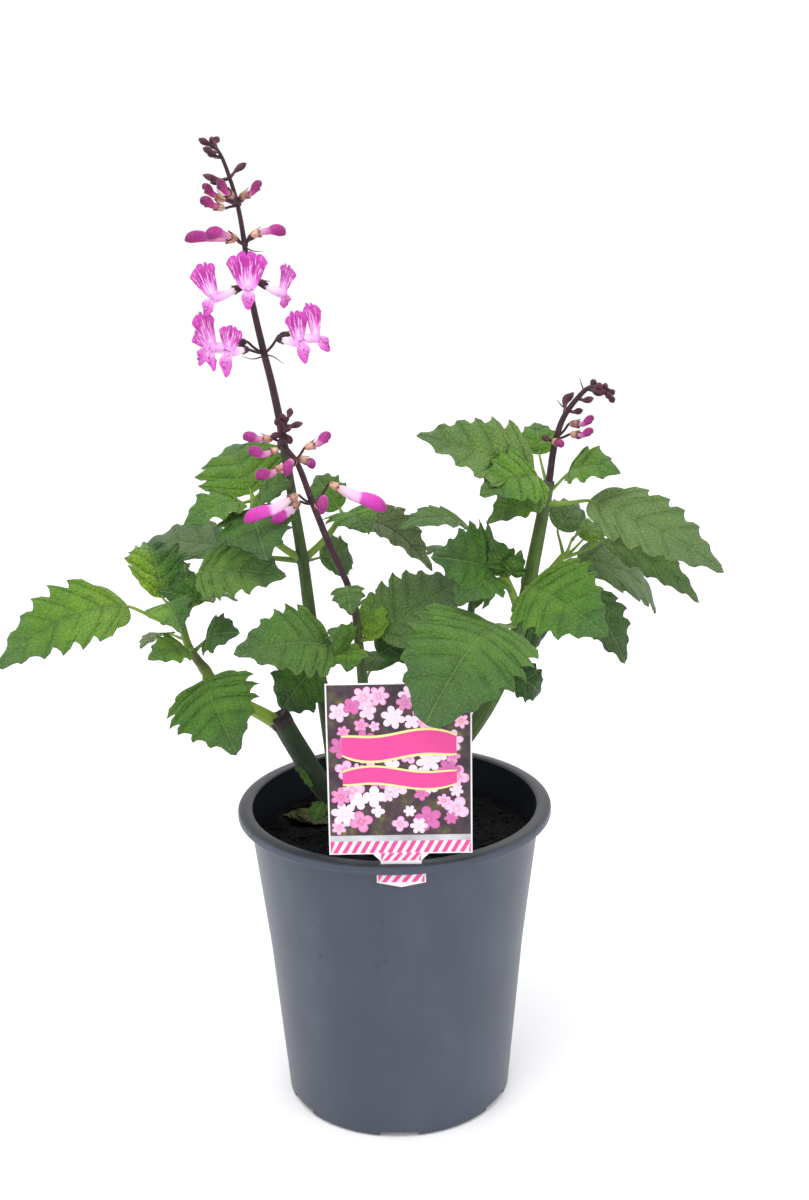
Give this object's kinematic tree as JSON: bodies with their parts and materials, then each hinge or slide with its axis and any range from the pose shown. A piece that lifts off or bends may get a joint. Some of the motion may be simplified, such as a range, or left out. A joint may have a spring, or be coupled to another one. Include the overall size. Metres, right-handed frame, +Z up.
{
  "type": "potted flowering plant",
  "caption": "Bushy plectranthus with toothed leaves and upright spikes of pink lipped flowers, in a round tapered nursery pot with a plant card in its rim.",
  "frame": {"origin": "centre of the pot's underside, on the surface it stands on", "axes": "+Z up; -Y towards the front, where the card stands; +X to the right of someone looking at the front"},
  "size_m": [0.4293, 0.2213, 0.6124],
  "materials": {
    "pot": "satin",
    "soil": "rough",
    "label": "printed",
    "withered_leaf": "dry",
    "foliage": "soft, slightly glossy",
    "flower_axis": "downy",
    "petal": "soft",
    "bud": "soft"
  },
  "bodies": {
    "root": {"pot": "pot", "soil": "soil", "label": "label", "fallen_leaf": "withered_leaf", "stem_left": "foliage", "stem_main": "foliage", "stem_second": "foliage", "stem_mid": "foliage", "stem_right": "foliage", "spike_main": "flower_axis", "spike_second": "flower_axis", "spike_right": "flower_axis", "bloom_main_1": "petal", "bloom_main_2": "petal", "bloom_main_3": "petal", "bloom_main_4": "petal", "bloom_main_5": "petal", "bloom_main_6": "petal", "bloom_main_7": "petal", "bloom_main_8": "petal", "bud_main_1": "bud", "bud_main_2": "bud", "bud_main_3": "bud", "bud_main_4": "bud", "bud_main_5": "bud", "bud_main_6": "bud", "bud_main_7": "bud", "bud_second_1": "bud", "bud_second_2": "bud", "bud_second_3": "bud", "bud_second_4": "bud", "bud_second_5": "bud", "bud_second_6": "bud", "bud_second_7": "bud", "bud_second_8": "bud", "bud_second_9": "bud", "bud_second_10": "bud", "bud_right_1": "bud", "bud_right_2": "bud", "bud_right_3": "bud"}
  },
  "joints": []
}
